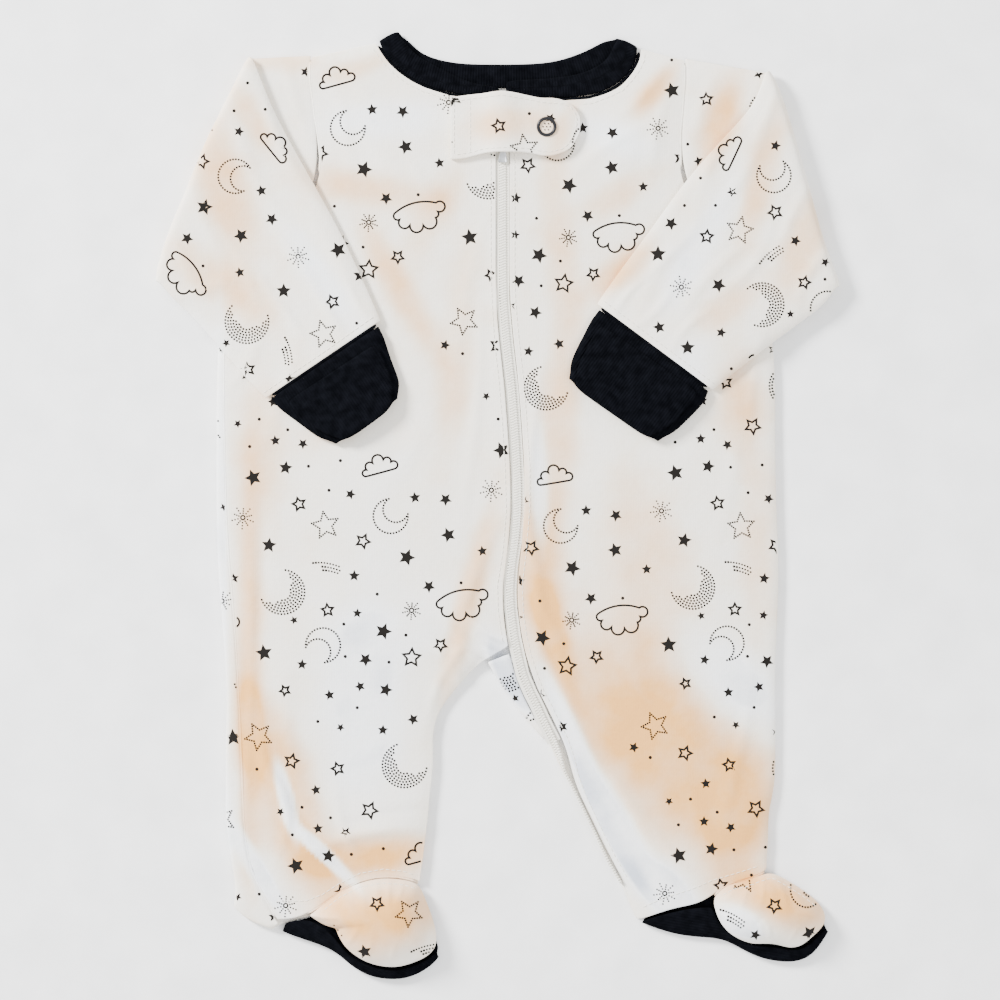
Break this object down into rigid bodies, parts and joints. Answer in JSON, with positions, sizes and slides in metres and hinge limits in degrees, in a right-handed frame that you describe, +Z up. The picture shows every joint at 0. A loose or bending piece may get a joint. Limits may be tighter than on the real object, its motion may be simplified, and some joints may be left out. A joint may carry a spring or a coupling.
{
  "type": "footed baby sleepsuit",
  "caption": "Footed baby sleepsuit laid flat on its back, sleeves folded in, with a zip from neck to foot, a snapped guard tab, rib cuffs and dark soles.",
  "frame": {"origin": "on the floor, under the middle of the garment's overall box", "axes": "+X to the wearer's left, +Y to the neck, +Z up from the floor that the back lies on"},
  "size_m": [0.328, 0.457, 0.0168],
  "materials": {
    "printed_jersey": "soft brushed cotton jersey with a small black print",
    "black_rib": "matte rib knit",
    "zip_coil": "moulded coil",
    "zip_tape": "woven tape",
    "zip_metal": "plain",
    "snap_enamel": "black enamel"
  },
  "bodies": {
    "root": {"back_panel": "printed_jersey", "front_right_panel": "printed_jersey", "front_left_panel": "printed_jersey", "sleeve_right": "printed_jersey", "sleeve_left": "printed_jersey", "cuff_right": "black_rib", "cuff_left": "black_rib", "cuff_flap_right": "black_rib", "cuff_flap_left": "black_rib", "neck_rib": "black_rib", "zip_coil": "zip_coil", "zip_tape_right": "zip_tape", "zip_tape_left": "zip_tape", "neck_tab": "printed_jersey", "sole_right": "black_rib", "sole_left": "black_rib", "foot_right": "printed_jersey", "foot_left": "printed_jersey", "zip_slider": "zip_metal", "zip_pull": "zip_metal", "snap_socket": "zip_metal", "snap_ring": "snap_enamel"}
  },
  "joints": []
}
